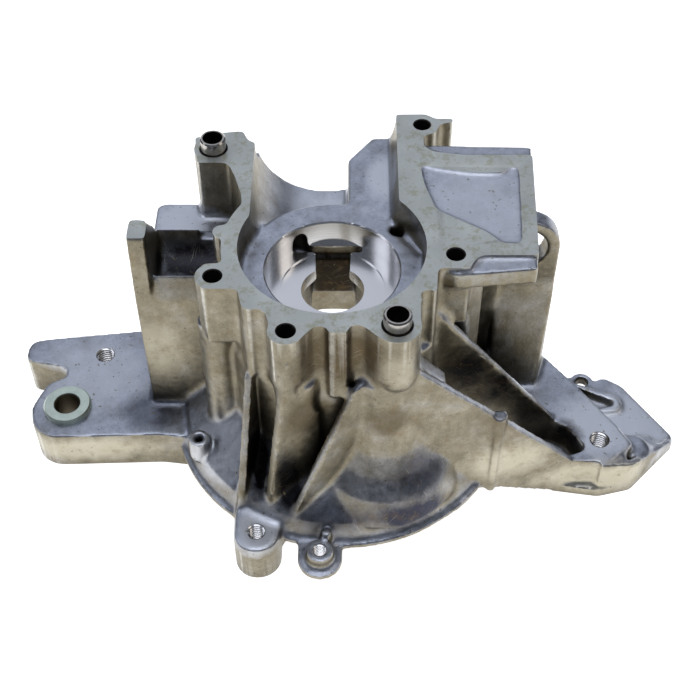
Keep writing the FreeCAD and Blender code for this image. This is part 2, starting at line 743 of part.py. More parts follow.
def arm_cuts():
    """Long slot between the arm ribs, tapped holes, screw ear and bush bore."""
    x = size("right_hole_x")
    y = size("right_hole_y")
    tip = size("skirt_tip_x")
    slot = plate("arm_slot", [
        (33.5, -11.7), (33.5, -29.0), (x - 12.0, y - 6.2, 2), (x - 6.2, y - 4.6, 1.6),
        (x - 5.4, y - 2.2, 1.6), (x - 9.6, y + 5.0, 2.5), (x - 15.0, y + 8.1),
    ], "foot_z + flange_thickness", "parting_z")
    pocket = plate("skirt_pocket", [
        (x - 3.0, 15.4), (tip - 19.6, 9.2, 1), (tip - 18.6, 7.4, 0.8), (tip - 24.4, 5.8, 1),
        (x - 2.4, 6.8),
    ], "foot_z + 1.5", "arm_top_z")
    undercut = rib("arm_undercut", (34, 0), (76, 0),
                   [(0, size("rim_bottom_z")), (0.45, size("rim_bottom_z") - 3),
                    (0.9, size("foot_z")), (1, size("foot_z"))], size("foot_z") - 2,
                   "2 * rim_radius")
    return [
        slot,
        pocket,
        undercut,
        cylinder("left_hole_cut", "arm_hole_radius", "left_hole_x", "left_hole_y",
                 "foot_z - 1", "arm_top_z + 1"),
        cylinder("right_hole_cut", "arm_hole_radius", "right_hole_x", "right_hole_y",
                 "foot_z - 1", "arm_top_z + 1"),
        cylinder("ear_cut", "ear_hole_radius", "ear_hole_x", "ear_hole_y",
                 "foot_z - 1", "arm_top_z"),
        cylinder("bush_cut", "bush_radius", "bush_x", "bush_y", "foot_z - 1", "arm_top_z + 1"),
    ]


def lug_cuts():
    """Tapped holes of the lug, the stud boss and the pip, and the groove by the sleeve boss."""
    return [
        cylinder("wall_groove_cut", "wall_groove_radius", "wall_groove_x", "wall_groove_y",
                 "wall_groove_z", "parting_z + 1"),
        cylinder("lug_hole_cut", "lug_hole_radius", "lug_x", "lug_y", "foot_z - 1",
                 "arm_top_z + 1"),
        cylinder("stud_hole_cut", "stud_hole_radius", "lobe_x", "lobe_y", "rim_bottom_z - 1",
                 "stud_top_z + 1"),
        cylinder("pip_hole_cut", "pip_hole_radius", "pip_x", "pip_y", "foot_z - 1",
                 "pip_top_z + 1"),
    ]


def casting():
    """The whole die-cast housing: everything added, then everything cut."""
    solid = [hub(), fan_dome()]
    for name in ("left", "front", "right", "rear"):
        solid.append(hanging_boss(name + "_boss", name + "_boss_x", name + "_boss_y",
                                  "boss_radius", "boss_depth"))
    solid.append(hanging_boss("front_sleeve_boss", "front_sleeve_x", "front_sleeve_y",
                              "sleeve_boss_radius", "sleeve_boss_depth"))
    solid += parting_webs() + [front_wall()] + prongs() + [sleeve_post()] + shelf() + upright()
    solid += trough_block() + [left_arm()] + right_arm() + rim_lugs()
    solid += buttresses() + column_feet()
    removed = chamber_cuts() + port_cuts() + cylinder_cuts()
    removed += sleeve_cuts("front") + sleeve_cuts("rear")
    removed += [screw_cut(name) for name in ("left", "front", "right", "rear")]
    removed += [shelf_cuts(), upright_cut()] + eye_cuts() + trough_cuts()
    removed += underside_cuts() + [hub_room()] + arm_cuts() + lug_cuts()
    case = document.addObject("Part::Cut", "crankcase_casting")
    case.Base = joined("casting_solid", solid)
    case.Tool = joined("casting_cuts", removed)
    case.Label = "crankcase_casting"
    return case


def sleeve(name):
    """Ground steel locating sleeve, chamfered at both ends, loose in its counterbore."""
    inner = size("sleeve_bore_radius")
    outer = size("sleeve_radius")
    length = size("sleeve_length")
    edge = size("sleeve_chamfer")
    body = turned("dowel_sleeve_" + name, [
        (inner, 0), (outer - edge, 0), (outer, edge), (outer, length - edge),
        (outer - edge, length), (inner, length),
    ])
    place(body, name + "_sleeve_x", name + "_sleeve_y",
          "parting_z + sleeve_stand - sleeve_length")
    return body


def arm_bush():
    """Flanged steel bush pressed into the left arm from above."""
    bore = size("bush_bore_radius")
    shank = size("bush_radius")
    head = size("bush_head_radius")
    edge = size("bush_chamfer")
    foot = size("foot_z") - size("arm_top_z")
    stand = size("bush_head_height")
    body = turned("arm_bush", [
        (bore, foot), (shank, foot), (shank, 0), (head, 0), (head, stand - edge),
        (head - edge, stand), (bore + edge, stand), (bore, stand - edge),
    ])
    place(body, "bush_x", "bush_y", "arm_top_z")
    return body


def check(pieces):
    """Stops before anything is written if a feature failed or a shape is broken."""
    for thing in document.Objects:
        if "Invalid" in thing.State or "Error" in thing.State:
            raise RuntimeError("%s failed: %s" % (thing.Label, thing.State))
    for piece in pieces:
        shape = piece.Shape
        if shape.isNull() or not shape.isValid() or len(shape.Solids) != 1:
            raise RuntimeError("%s: %d solids, valid %s" % (
                piece.Label, len(shape.Solids), shape.isValid()))


def main():
    pieces = [casting(), sleeve("front"), sleeve("rear"), arm_bush()]
    document.recompute()
    check(pieces)
    os.makedirs("parts", exist_ok=True)
    for piece in pieces:
        piece.Shape.exportStep("parts/%s.step" % piece.Label)
        box = piece.Shape.BoundBox
        print("%s %.0f mm3, x %.1f..%.1f, y %.1f..%.1f, z %.1f..%.1f" % (
            piece.Label, piece.Shape.Volume, box.XMin, box.XMax, box.YMin, box.YMax,
            box.ZMin, box.ZMax))


main()
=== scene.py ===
"""Die-cast crankcase half: cast skin, machined faces, threads, steel sleeves and bush,
made round the CAD frame. Metres, +Z up the crank axis."""

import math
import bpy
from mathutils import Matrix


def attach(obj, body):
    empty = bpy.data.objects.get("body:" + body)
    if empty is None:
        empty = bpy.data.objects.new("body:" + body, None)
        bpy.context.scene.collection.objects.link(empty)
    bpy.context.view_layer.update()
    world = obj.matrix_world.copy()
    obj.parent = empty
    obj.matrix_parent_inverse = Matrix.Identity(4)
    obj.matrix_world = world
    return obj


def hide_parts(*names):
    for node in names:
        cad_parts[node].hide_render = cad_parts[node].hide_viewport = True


bl_info = {
    "name": "Crankcase Half",
    "version": (1, 0, 0),
    "blender": (4, 5, 0),
    "location": "View3D > Sidebar > Crankcase",
    "description": "Die-cast crankcase half with machined faces, threads and steel inserts",
    "category": "Add Mesh",
}

import bpy
import numpy as np
from bpy.props import FloatProperty, FloatVectorProperty, IntProperty, PointerProperty
from mathutils import Vector

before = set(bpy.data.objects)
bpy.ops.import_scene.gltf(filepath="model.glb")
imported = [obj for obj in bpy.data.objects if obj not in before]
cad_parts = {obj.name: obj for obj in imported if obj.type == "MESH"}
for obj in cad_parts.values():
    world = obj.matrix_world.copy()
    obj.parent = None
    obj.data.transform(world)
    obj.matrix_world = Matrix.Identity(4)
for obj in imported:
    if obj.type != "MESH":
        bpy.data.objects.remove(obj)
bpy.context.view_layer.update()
MM = 0.001

# Places on the casting, in millimetres in the frame
PARTING_Z = 10.3
FOOT_Z = -77.0
ARM_TOP_Z = -62.0
SEAT_RADIUS = 20.0
SEAT_FLOOR_Z = -8.0
WEB_Z = -8.5
RELIEF_RADIUS = 15.8
SHAFT_RADIUS = 9.5
SHAFT_HOLE_LOW_Z = -13.6
SCREW_HOLES = ((-33.7, -12.9), (-12.3, -33.9), (35.7, -4.1), (28.2, 55.0))
SCREW_RADIUS = 2.6
SCREW_FLOOR_Z = PARTING_Z - 20
SLEEVE_HOLES = ((18.2, -31.7), (-37.4, 43.2))
SLEEVE_RADIUS = 4.08
SLEEVE_FLOOR_Z = 2.5
BUSH_PLACE = (-88.3, -2.1)
BUSH_HOLE_RADIUS = 5.6
BUSH_OIL_RADIUS = 4.9
RIM_PLACE = (2.2, 0.6)
FLARE_PLACE = (15.5, -26.5)
THREADED = (
    # x, y, thread radius, low, high
    (-78.8, 20.9, 3.0, FOOT_Z, ARM_TOP_Z),
    (86.2, -15.7, 3.0, FOOT_Z, ARM_TOP_Z),
    (-23.4, -51.0, 2.6, FOOT_Z, ARM_TOP_Z),
    (-3.9, -58.2, 2.1, -67.6, -61.0),
)
LUMPS = (
    # x, y, low, high, foot radius, top radius: the arm block's end, then the lug's root
    (94.5, -13.5, -75, -66.5, 6.5, 5.0),
    (90.5, -18.5, -75, -63.4, 5.5, 4.6),
    (98.2, -14.6, -75, -66.5, 6.6, 5.4),
    (102.6, -10.6, -75, -70.5, 5.0, 4.2),
    (-19.8, -46.2, -72, -62.4, 5.6, 5.0),
)
SOFT = (
    # place and reach of the forms that the die rounds most
    ((31, -41, -55), 15), ((-23.4, -48, -62), 11), ((-57, 12, 6), 8), ((99, -13, -68), 9),
)
# How far below its neighbours' mean a vertex lies in a full hollow corner
FULL_HOLLOW = 0.035
FILLET_LEVELS = 6

# Patches on the cast skin: oil with painted shade, old oil, heat, painted reflection of the
# floor, painted sheen of a bright and a dark room
# Near-black oil together with painted shade in the deep pockets, the slots and between the ribs
OIL_AND_SHADE = "#0D0B11"
OLD_OIL = "#2C2418"
BROWN = "#4C3F28"
# Painted reflection of the pale floor, pale beige on the walls that face it
FLOOR_SHEEN = "#C6BFAA"
# Painted reflections: a pale sheen of a bright room and a dark sheen of a dark room
BRIGHT_ROOM_SHEEN = "#D0D4DC"
DARK_ROOM_SHEEN = "#2E3244"
# Stains, painted shade and painted reflections on the cast skin
STAINS_AND_PAINTED_LIGHT = (
    # colour, strength, centre, reach on each axis
    (BROWN, 0.85, (2, -34, 0), (27, 9, 15)),
    (BROWN, 0.7, (-6, -38, -22), (14, 9, 12)),
    (BROWN, 0.6, (17, -38, -26), (10, 8, 9)),
    (BROWN, 0.5, (-28, -20, -24), (12, 9, 10)),
    (BROWN, 0.25, (50, -31, -34), (16, 8, 12)),
    # Painted dark reflection
    (DARK_ROOM_SHEEN, 0.6, (27, -40, -47), (15, 10, 10)),
    # Painted reflection of the floor on the front walls
    (FLOOR_SHEEN, 0.75, (58, -30, -56), (24, 7, 12)),
    (FLOOR_SHEEN, 0.75, (86, -25, -69), (30, 9, 9)),
    (FLOOR_SHEEN, 0.7, (-82, -12, -69), (34, 9, 8)),
    (FLOOR_SHEEN, 0.35, (-56, -2, -36), (13, 9, 20)),
    (FLOOR_SHEEN, 0.4, (24, -40, -32), (8, 8, 6)),
    (FLOOR_SHEEN, 0.35, (18.2, -38, -3), (8, 8, 10)),
    # Painted pale reflections
    (BRIGHT_ROOM_SHEEN, 0.65, (-36, -25, -55), (17, 15, 14)),
    (BRIGHT_ROOM_SHEEN, 0.9, (-23.4, -51, -62), (11, 11, 7)),
    (BRIGHT_ROOM_SHEEN, 0.9, (-2, 42, -8), (24, 16, 8)),
    (BRIGHT_ROOM_SHEEN, 0.9, (16, 40, 2), (8, 14, 10)),
    (BRIGHT_ROOM_SHEEN, 0.6, (44, 14, 8), (26, 32, 8)),
    (BRIGHT_ROOM_SHEEN, 0.9, (102, 0, -73), (20, 22, 7)),
    (BRIGHT_ROOM_SHEEN, 0.9, (86, -10, -62), (18, 18, 6)),
    (BRIGHT_ROOM_SHEEN, 0.6, (-82, 12, -62), (26, 22, 5)),
    (BRIGHT_ROOM_SHEEN, 0.9, (37, -17, -32), (7, 6, 13)),
    # Oil and painted shade in the arm's slot
    (OIL_AND_SHADE, 1.0, (42, -15, -32), (12, 12, 16)),
    (OIL_AND_SHADE, 1.0, (53, -15, -43), (14, 12, 16)),
    (OIL_AND_SHADE, 1.0, (64, -15, -55), (14, 12, 15)),
    (OIL_AND_SHADE, 1.0, (74, -14, -65), (10, 10, 9)),
    (OLD_OIL, 1.0, (0, 16, -21), (17, 14, 20)),
    # Painted pale reflections
    (BRIGHT_ROOM_SHEEN, 0.9, (46, -6, -22), (13, 3.6, 13)),
    (BRIGHT_ROOM_SHEEN, 0.9, (62, -5.4, -42), (14, 3.6, 14)),
    (BRIGHT_ROOM_SHEEN, 0.9, (-48, 34, -12.5), (16, 16, 7)),
    # Oil and painted shade in the trough and between the ribs
    (OIL_AND_SHADE, 0.95, (-44, 16, -12), (20, 11, 10)),
    (OIL_AND_SHADE, 1.0, (-22.5, -33, -50), (5, 13, 24)),
    (OIL_AND_SHADE, 0.95, (-13, -42, -50), (6, 8, 24)),
    # Painted dark reflections
    (DARK_ROOM_SHEEN, 0.9, (22, -46, -58), (24, 10, 9)),
    (DARK_ROOM_SHEEN, 0.5, (-2, -47, -60), (16, 8, 8)),
    (DARK_ROOM_SHEEN, 0.6, (-60, -4, -62), (15, 11, 10)),
    # Oil and painted shade under the shelf
    (OIL_AND_SHADE, 0.85, (40, 4, -40), (7, 12, 22)),
)

# Stage, in metres; the camera stands where the photo's stood
CAMERA_PLACE = (0.00523, -0.26269, 0.261)
CAMERA_PITCH = math.radians(41.5)
CAMERA_LENS = 64.29
FLOOR_SIZE = 6.0
LAMP_AIM = (0, 0, -0.03)
LAMPS = (
    # name, place, size, watts, colour
    ("back_softbox", (0.0, 0.95, 0.85), 1.5, 4.4, "#EEF3FF"),
    ("top_softbox", (0.0, -0.15, 1.2), 0.9, 5.0, "#F4F7FF"),
    ("left_softbox", (-0.8, 0.1, 0.7), 0.5, 1.2, "#F2F5FF"),
    ("right_softbox", (0.8, 0.0, 0.8), 0.4, 0.8, "#FFF6EA"),
)


def linear(text):
    """sRGB hex colour to Blender's linear red, green, blue."""
    def channel(pair):
        value = int(pair, 16) / 255
        return value / 12.92 if value <= 0.04045 else ((value + 0.055) / 1.055) ** 2.4
    return tuple(channel(text[i:i + 2]) for i in (1, 3, 5))


class CrankcaseSizes(bpy.types.PropertyGroup):
    """Sizes that shape the casting's skin and its machining."""
    voxel: FloatProperty(
        name="Skin cell", description="Cell of the mesh that melts the cast forms together",
        default=0.55 * MM, min=0.3 * MM, max=3 * MM, unit="LENGTH")
    blend: IntProperty(
        name="Edge softness", description="Smoothing steps, which set the cast edge radius",
        default=10, min=0, max=60)
    fillet: IntProperty(
        name="Corner softness", description="Smoothing steps in the hollow corners",
        default=40, min=0, max=200)
    allowance: FloatProperty(
        name="Machining allowance", description="Metal left on the faces that are cut",
        default=1.6 * MM, min=0.5 * MM, max=4 * MM, unit="LENGTH")
    pitch: FloatProperty(
        name="Thread pitch", description="Pitch of the cut threads",
        default=1.0 * MM, min=0.5 * MM, max=2 * MM, unit="LENGTH")
    faces: IntProperty(
        name="Skin faces", description="Triangles kept on the cast skin",
        default=165000, min=20000, max=190000)


class CrankcaseColours(bpy.types.PropertyGroup):
    """Colours of the finishes."""
    # Painted light: the upper faces are tinted blue-grey as by the cool light from above
    skin_sky_sheen: FloatVectorProperty(
        name="Cast skin, upper faces", description="Blue-grey of the cast skin seen from above",
        subtype="COLOR", size=3, default=linear("#AEB3BF"), min=0, max=1)
    # Painted light: the side walls are tinted olive as by the warm floor that they face
    skin_floor_sheen: FloatVectorProperty(
        name="Cast skin, side walls", description="Olive grey of the cast skin's side walls",
        subtype="COLOR", size=3, default=linear("#8E8672"), min=0, max=1)
    milled: FloatVectorProperty(
        name="Milled face", description="Pale grey of the milled parting face",
        subtype="COLOR", size=3, default=linear("#C4C8C4"), min=0, max=1)
    turned: FloatVectorProperty(
        name="Turned seat", description="Bright aluminium of the turned seat and threads",
        subtype="COLOR", size=3, default=linear("#E6E6E8"), min=0, max=1)
    # Dark brown of old oil together with painted shade inside the deep screw holes
    bore: FloatVectorProperty(
        name="Oiled bore", description="Dark brown of the oily screw holes",
        subtype="COLOR", size=3, default=linear("#3A3430"), min=0, max=1)
    steel: FloatVectorProperty(
        name="Sleeve steel", description="Ground steel of the locating sleeves",
        subtype="COLOR", size=3, default=linear("#B8B4AE"), min=0, max=1)
    zinc: FloatVectorProperty(
        name="Zinc plating", description="Pale green-grey plating of the bush",
        subtype="COLOR", size=3, default=linear("#D2DED2"), min=0, max=1)
    floor: FloatVectorProperty(
        name="Floor", description="Pale studio floor",
        subtype="COLOR", size=3, default=linear("#F4F4F2"), min=0, max=1)


def add(tree, kind, inputs=None, stops=(), **settings):
    """Adds a shader node. An input takes a value, an output, or a node whose first output
    is linked; stops are a colour ramp's (position, grey) pairs."""
    node = tree.nodes.new(kind)
    for name, value in settings.items():
        setattr(node, name, value)
    for socket, value in (inputs or {}).items():
        if isinstance(value, bpy.types.Node):
            value = next(output for output in value.outputs if output.enabled)
        if isinstance(value, bpy.types.NodeSocket):
            tree.links.new(value, node.inputs[socket])
        else:
            node.inputs[socket].default_value = value
    for number, (position, grey) in enumerate(stops):
        elements = node.color_ramp.elements
        if number == len(elements):
            elements.new(position)
        elements[number].position = position
        elements[number].color = (grey, grey, grey, 1)
    return node


def rgba(colour):
    return (*colour, 1.0)


def per_metre(size):
    """Scale of a pattern whose cells are about size millimetres."""
    return 1 / (size * MM)


def fresh_material(name):
    material = bpy.data.materials.new(name)
    material.use_nodes = True
    tree = material.node_tree
    tree.nodes.clear()
    return material, tree


def finish(tree, **inputs):
    """Ends a material's tree in the surface that the inputs describe."""
    named = {name.replace("_", " ").title(): value for name, value in inputs.items()}
    surface = add(tree, "ShaderNodeBsdfPrincipled", named)
    add(tree, "ShaderNodeOutputMaterial", {"Surface": surface})


def mottled(tree, body, fields):
    """Multiplies a colour by the greys of ramps over fields, each with its two stops."""
    for field, low, high in fields:
        tone = add(tree, "ShaderNodeValToRGB", {"Fac": field}, stops=(low, high))
        body = add(tree, "ShaderNodeMix", {"Factor": 1.0, "A": body, "B": tone},
                   data_type="RGBA", blend_type="MULTIPLY")
    return body


def marked(tree, body, field, stops, colour, within=None):
    """Covers a colour with another as far as a ramp over a field says, and a mask lets it."""
    cover = add(tree, "ShaderNodeValToRGB", {"Fac": field}, stops=stops)
    if within is not None:
        cover = add(tree, "ShaderNodeMath", {0: cover, 1: within}, operation="MULTIPLY")
    return add(tree, "ShaderNodeMix",
               {"Factor": cover, "A": body, "B": rgba(linear(colour))}, data_type="RGBA")


def stains_and_painted_light(tree, place, body):
    """Soft-edged oil and heat stains, painted shade and painted reflections at their places on
    the casting.
    """
    rag = add(tree, "ShaderNodeTexNoise", {"Vector": place, "Scale": per_metre(5),
                                           "Detail": 6.0, "Roughness": 0.65})
    ragged = add(tree, "ShaderNodeMath", {0: rag, 1: 0.6, 2: -0.3}, operation="MULTIPLY_ADD")
    for colour, strength, centre, reach in STAINS_AND_PAINTED_LIGHT:
        near = add(tree, "ShaderNodeMapping",
                   {"Vector": place, "Scale": [per_metre(r) for r in reach],
                    "Location": [-c / r for c, r in zip(centre, reach)]})
        patch = add(tree, "ShaderNodeTexGradient", {"Vector": near},
                    gradient_type="SPHERICAL").outputs["Fac"]
        edge = add(tree, "ShaderNodeMath", {0: patch, 1: ragged}, operation="ADD")
        inside = add(tree, "ShaderNodeValToRGB", {"Fac": patch}, stops=((0.0, 0.0), (0.12, 1.0)))
        cover = add(tree, "ShaderNodeMath", {0: edge, 1: inside}, operation="MULTIPLY")
        body = marked(tree, body, cover, ((0.1, 0.0), (0.55, strength)), colour)
    return body


def die_cast_aluminium(colours):
    """As-cast aluminium, handled for years: a soft satin sheen, with painted light that tints
    faces that look up blue-grey and the walls olive, painted shade in the corners and pockets
    and painted reflections in patches; mottled and oil-stained, rubbed bright along the edges."""
    material, tree = fresh_material("die_cast_aluminium")
    place = add(tree, "ShaderNodeTexCoord").outputs["Object"]
    geometry = add(tree, "ShaderNodeNewGeometry")
    flow = add(tree, "ShaderNodeTexNoise",
               {"Vector": place, "Scale": per_metre(9), "Detail": 5.0, "Roughness": 0.6})
    cloud = add(tree, "ShaderNodeTexNoise",
                {"Vector": place, "Scale": per_metre(2.4), "Detail": 6.0, "Roughness": 0.65})
    # Blasting grit is 0.1 mm; its grain is drawn at 0.42 mm, so that it shows
    grain = add(tree, "ShaderNodeTexNoise",
                {"Vector": place, "Scale": per_metre(0.42), "Detail": 3.0, "Roughness": 0.7})
    # Painted light: upward faces are tinted cooler, as by the bluish light from above, side
    # walls warmer, as by the warm floor
    normal = add(tree, "ShaderNodeSeparateXYZ", {"Vector": geometry.outputs["Normal"]})
    lean = add(tree, "ShaderNodeMapRange",
               {"Value": normal.outputs["Z"], "From Min": 0.25, "From Max": 0.8})
    sway = add(tree, "ShaderNodeMath", {0: flow, 1: 0.9, 2: -0.45}, operation="MULTIPLY_ADD")
    sky_sheen_share = add(tree, "ShaderNodeMath", {0: lean, 1: sway}, operation="ADD", use_clamp=True)
    wall = add(tree, "ShaderNodeMath", {0: 1.0, 1: sky_sheen_share}, operation="SUBTRACT")
    body = add(tree, "ShaderNodeMix", {"Factor": sky_sheen_share, "A": rgba(colours.skin_floor_sheen),
                                       "B": rgba(colours.skin_sky_sheen)}, data_type="RGBA")
    body = mottled(tree, body, ((flow, (0.32, 0.78), (0.68, 1.14)),
                                (cloud, (0.32, 0.78), (0.68, 1.14)),
                                (grain, (0.32, 0.86), (0.68, 1.12))))
    # Streaks down the walls, along the die's draw
    drawn = add(tree, "ShaderNodeMapping",
                {"Vector": place, "Scale": [per_metre(size) for size in (2.2, 2.2, 13.2)]})
    streak = add(tree, "ShaderNodeTexNoise",
                 {"Vector": drawn, "Scale": 1.0, "Detail": 4.0, "Roughness": 0.6})
    streaked = mottled(tree, body, ((streak, (0.35, 0.9), (0.65, 1.05)),))
    body = add(tree, "ShaderNodeMix", {"Factor": wall, "A": body, "B": streaked},
               data_type="RGBA")
    # Stains, painted shade and painted reflections at fixed places on the casting
    body = stains_and_painted_light(tree, place, body)
    # Brown oil and heat stains, mostly on the walls
    heat = add(tree, "ShaderNodeTexNoise",
               {"Vector": place, "Scale": per_metre(6.5), "Detail": 8.0, "Roughness": 0.72})
    body = marked(tree, body, heat, ((0.53, 0.0), (0.68, 0.45)), "#6B5738", wall)
    drops = add(tree, "ShaderNodeTexNoise",
                {"Vector": place, "Scale": per_metre(1.3), "Detail": 3.0, "Roughness": 0.5})
    body = marked(tree, body, drops, ((0.66, 0.0), (0.72, 0.7)), "#6A6048")
    # Fine bright scratches that cross one another
    for turn in ((0.3, 0.5, 0.8), (1.1, 0.2, 2.1)):
        turned = add(tree, "ShaderNodeMapping", {"Vector": place, "Rotation": turn})
        drawn = add(tree, "ShaderNodeMapping",
                    {"Vector": turned, "Scale": [per_metre(size) for size in (0.16, 6.4, 6.4)]})
        lines = add(tree, "ShaderNodeTexNoise",
                    {"Vector": drawn, "Scale": 1.0, "Detail": 1.0, "Roughness": 0.5})
        body = marked(tree, body, lines, ((0.70, 0.0), (0.74, 0.2)), "#D8D2C0")
    # Edges rubbed bright by handling
    handled = add(tree, "ShaderNodeValToRGB", {"Fac": cloud}, stops=((0.35, 0.25), (0.6, 0.75)))
    body = marked(tree, body, geometry.outputs["Pointiness"], ((0.525, 0.0), (0.6, 1.0)),
                  "#DAD8CE", handled)
    # Painted shade darkens the corners and recesses by their ambient occlusion; dust and oil
    # stay in the pores
    corner_shade = add(tree, "ShaderNodeAmbientOcclusion", {"Distance": 22 * MM}, samples=8)
    body = marked(tree, body, corner_shade.outputs["AO"],
                  ((0.08, 0.96), (0.34, 0.45), (0.62, 0.0)), "#1E1C1C")
    pits = add(tree, "ShaderNodeTexVoronoi", {"Vector": place, "Scale": per_metre(4.2)})
    pit = add(tree, "ShaderNodeValToRGB", {"Fac": pits}, stops=((0.04, 1.0), (0.085, 0.0)))
    patchy = add(tree, "ShaderNodeValToRGB", {"Fac": cloud}, stops=((0.5, 0.0), (0.56, 0.9)))
    pore = add(tree, "ShaderNodeMath", {0: pit, 1: patchy}, operation="MULTIPLY")
    body = add(tree, "ShaderNodeMix",
               {"Factor": pore, "A": body, "B": rgba(linear("#3A3329"))}, data_type="RGBA")
    rough = add(tree, "ShaderNodeMapRange", {"Value": cloud, "From Min": 0.3, "From Max": 0.7,
                                             "To Min": 0.27, "To Max": 0.46})
    relief = add(tree, "ShaderNodeMath", {0: grain, 1: 0.45, 2: cloud},
                 operation="MULTIPLY_ADD")
    sunk = add(tree, "ShaderNodeMath", {0: relief, 1: pore}, operation="SUBTRACT")
    bump = add(tree, "ShaderNodeBump",
               {"Strength": 0.5, "Distance": 0.16 * MM, "Height": sunk})
    finish(tree, base_color=body, metallic=0.92, roughness=rough, normal=bump)
    return material


def milled_aluminium(colours):
    """Milled aluminium, lightly oxidised: an even pale face that hardly mirrors, with green
    oil stains and faint swirls."""
    material, tree = fresh_material("milled_aluminium")
    place = add(tree, "ShaderNodeTexCoord").outputs["Object"]
    haze = add(tree, "ShaderNodeTexNoise",
               {"Vector": place, "Scale": per_metre(12), "Detail": 4.0, "Roughness": 0.6})
    stain = add(tree, "ShaderNodeTexNoise",
                {"Vector": place, "Scale": per_metre(3), "Detail": 6.0, "Roughness": 0.75})
    body = mottled(tree, rgba(colours.milled), ((haze, (0.3, 0.8), (0.7, 1.08)),))
    body = marked(tree, body, stain, ((0.49, 0.0), (0.62, 0.5)), "#8E8B62")
    # The cutter's passes, 7.54 mm apart; the texture turns 20 radians in one unit
    swirls = add(tree, "ShaderNodeTexWave",
                 {"Vector": place, "Scale": per_metre(7.54) * 2 * math.pi / 20,
                  "Distortion": 2.0}, wave_type="RINGS", rings_direction="Z")
    bump = add(tree, "ShaderNodeBump",
               {"Strength": 0.06, "Distance": 0.02 * MM, "Height": swirls.outputs["Fac"]})
    finish(tree, base_color=body, metallic=0.75, roughness=0.42, normal=bump)
    return material


def turned_aluminium(colours):
    """Turned aluminium: a bright wall that mirrors softly, with fine rings round its axis."""
    material, tree = fresh_material("turned_aluminium")
    place = add(tree, "ShaderNodeTexCoord").outputs["Object"]
    # Feed marks, real ones 0.1 mm apart, are drawn 0.25 mm apart and 50 mm long, so they show
    fed = add(tree, "ShaderNodeMapping",
              {"Vector": place, "Scale": [per_metre(size) for size in (50, 50, 0.25)]})
    rings = add(tree, "ShaderNodeTexNoise", {"Vector": fed, "Scale": 1.0, "Detail": 3.0})
    body = mottled(tree, rgba(colours.turned), ((rings, (0.3, 0.84), (0.7, 1.0)),))
    bump = add(tree, "ShaderNodeBump",
               {"Strength": 0.15, "Distance": 0.02 * MM, "Height": rings})
    finish(tree, base_color=body, metallic=1.0, roughness=0.22, normal=bump)
    return material


def oily_bore_and_shade(colours):
    """Drilled aluminium wet with old oil, its dark brown also painted shade: the deep screw
    holes read as nearly black.
    """
    material, tree = fresh_material("oily_bore_and_shade")
    place = add(tree, "ShaderNodeTexCoord").outputs["Object"]
    film = add(tree, "ShaderNodeTexNoise",
               {"Vector": place, "Scale": per_metre(1.5), "Detail": 4.0, "Roughness": 0.6})
    body = mottled(tree, rgba(colours.bore), ((film, (0.35, 0.6), (0.65, 1.2)),))
    finish(tree, base_color=body, metallic=0.7, roughness=0.5)
    return material


def ground_steel(colours):
    """Ground steel: sharp bright highlights, dulled in patches by a brown oil film."""
    material, tree = fresh_material("ground_steel")
    place = add(tree, "ShaderNodeTexCoord").outputs["Object"]
    film = add(tree, "ShaderNodeTexNoise",
               {"Vector": place, "Scale": per_metre(2.5), "Detail": 4.0})
    body = marked(tree, rgba(colours.steel), film, ((0.5, 0.0), (0.75, 0.6)), "#6A4A32")
    finish(tree, base_color=body, metallic=1.0, roughness=0.2)
    return material


def zinc_plated_steel(colours):
    """Zinc-plated steel: a pale green-grey satin that blooms in patches, brown in the bore."""
    material, tree = fresh_material("zinc_plated_steel")
    place = add(tree, "ShaderNodeTexCoord").outputs["Object"]
    bloom = add(tree, "ShaderNodeTexNoise",
                {"Vector": place, "Scale": per_metre(4), "Detail": 5.0, "Roughness": 0.65})
    body = mottled(tree, rgba(colours.zinc), ((bloom, (0.3, 0.8), (0.7, 1.05)),))
    scale = per_metre(BUSH_OIL_RADIUS)
    across = [-c / BUSH_OIL_RADIUS for c in BUSH_PLACE]
    axis = add(tree, "ShaderNodeMapping",
               {"Vector": place, "Scale": (scale, scale, 0.0), "Location": (*across, 0.0)})
    inside = add(tree, "ShaderNodeTexGradient", {"Vector": axis}, gradient_type="SPHERICAL")
    body = marked(tree, body, inside.outputs["Fac"], ((0.08, 0.0), (0.16, 0.9)), "#4A3820")
    finish(tree, base_color=body, metallic=0.9, roughness=0.33)
    return material


def only(thing):
    """Makes one object the only selected and the active one."""
    bpy.ops.object.select_all(action="DESELECT")
    thing.select_set(True)
    bpy.context.view_layer.objects.active = thing


def settle(thing):
    """Puts the object's place, turn and scale into its mesh."""
    only(thing)
    bpy.ops.object.transform_apply(location=True, rotation=True, scale=True)


def apply(thing, kind, **settings):
    """Adds a modifier and applies it."""
    modifier = thing.modifiers.new(kind.lower(), kind)
    for name, value in settings.items():
        setattr(modifier, name, value)
    only(thing)
    bpy.ops.object.modifier_apply(modifier=modifier.name)


def remove(thing):
    bpy.data.objects.remove(thing, do_unlink=True)


def bar(radius, x, y, low, high, sides, top_radius):
    """Upright round bar in millimetres."""
    bpy.ops.object.select_all(action="DESELECT")
    bpy.ops.mesh.primitive_cone_add(
        vertices=sides, radius1=radius * MM, radius2=top_radius * MM,
        depth=(high - low) * MM, location=(x * MM, y * MM, (low + high) / 2 * MM))
    thing = bpy.context.object
    settle(thing)
    return thing


def ball(radius, x, y, z, flat):
    """Round lump in millimetres, pressed flat along Z."""
    bpy.ops.object.select_all(action="DESELECT")
    bpy.ops.mesh.primitive_uv_sphere_add(
        segments=32, ring_count=20, radius=radius * MM, location=(x * MM, y * MM, z * MM))
    thing = bpy.context.object
    thing.scale = (1, 1, flat)
    settle(thing)
    return thing


